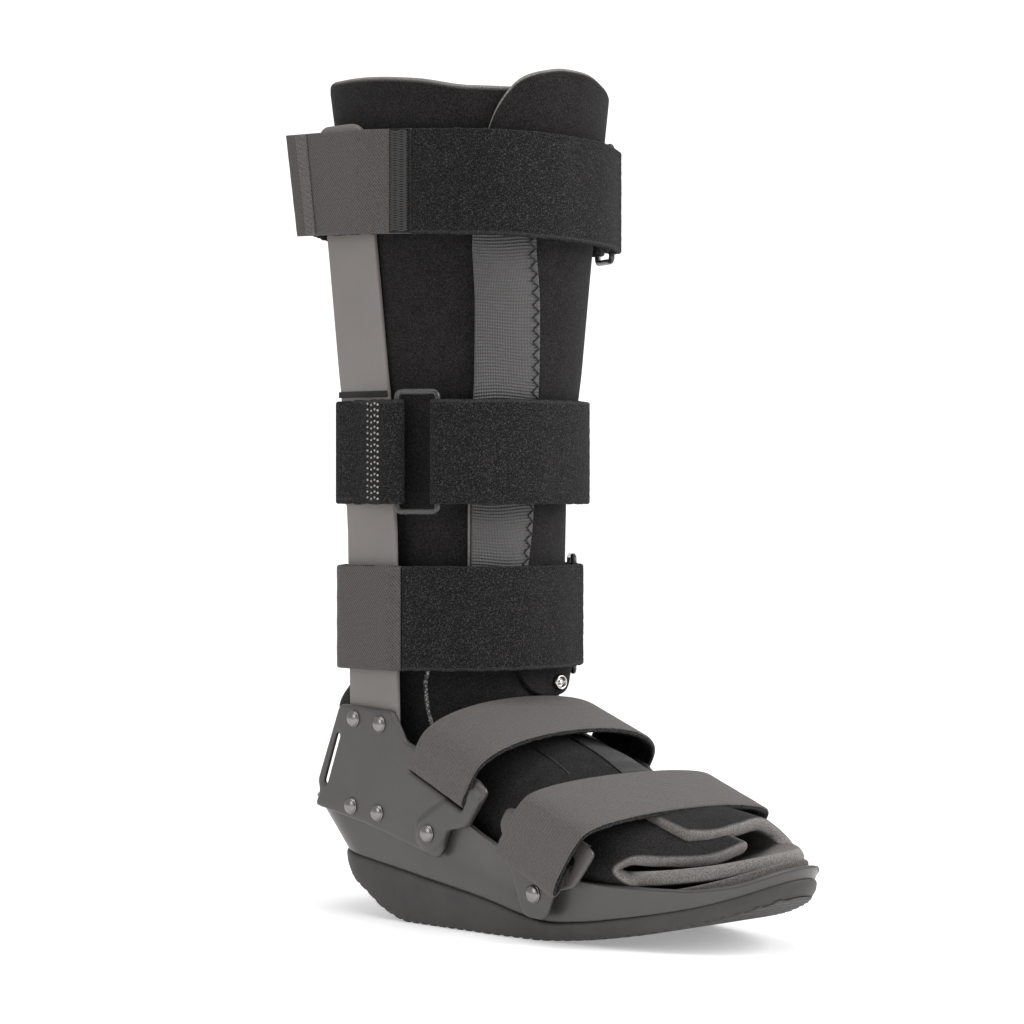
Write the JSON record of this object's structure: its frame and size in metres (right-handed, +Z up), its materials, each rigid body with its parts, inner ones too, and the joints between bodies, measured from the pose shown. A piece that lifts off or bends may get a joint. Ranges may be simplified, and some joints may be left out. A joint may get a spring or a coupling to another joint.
{
  "type": "medical walking boot",
  "caption": "Tall orthopaedic walking boot with a rocker sole, riveted side brackets and uprights, a foam liner, and straps over the leg and foot.",
  "frame": {"origin": "on the ground at the middle of the flat part of the rocker sole", "axes": "+Z up along the leg, -Y towards the toes, -X the side shown in the picture"},
  "size_m": [0.1402, 0.2945, 0.4147],
  "materials": {
    "outsole_rubber": "matt",
    "shell_plastic": "satin",
    "insole_foam": "matt closed-cell foam",
    "liner_foam": "napped foam laminate",
    "upright_metal": "matt powder coat",
    "rivet_metal": "dark plated",
    "webbing": "ribbed weave",
    "strap_pile": "loop pile",
    "mesh_fabric": "ribbed knit",
    "buckle_plastic": "clear smoke"
  },
  "bodies": {
    "root": {"bracket_far": "shell_plastic", "bracket_near": "shell_plastic", "bracket_rivet_far_1": "rivet_metal", "bracket_rivet_far_2": "rivet_metal", "bracket_rivet_far_3": "rivet_metal", "bracket_rivet_far_4": "rivet_metal", "bracket_rivet_near_1": "rivet_metal", "bracket_rivet_near_2": "rivet_metal", "bracket_rivet_near_3": "rivet_metal", "bracket_rivet_near_4": "rivet_metal", "forefoot_ring_far": "shell_plastic", "forefoot_ring_near": "shell_plastic", "forefoot_rivet_far": "rivet_metal", "forefoot_rivet_near": "rivet_metal", "forefoot_strap": "webbing", "front_flap": "liner_foam", "insole": "insole_foam", "instep_rivet_far": "rivet_metal", "instep_rivet_near": "rivet_metal", "instep_strap": "webbing", "liner": "liner_foam", "lower_buckle": "buckle_plastic", "lower_hook_tab": "webbing", "lower_strap": "strap_pile", "mesh_panel": "mesh_fabric", "middle_buckle": "buckle_plastic", "middle_strap": "strap_pile", "outsole": "outsole_rubber", "sole_shell": "shell_plastic", "top_buckle": "buckle_plastic", "top_hook_tab": "webbing", "top_strap": "strap_pile", "upright_far": "upright_metal", "upright_near": "upright_metal"}
  },
  "joints": []
}
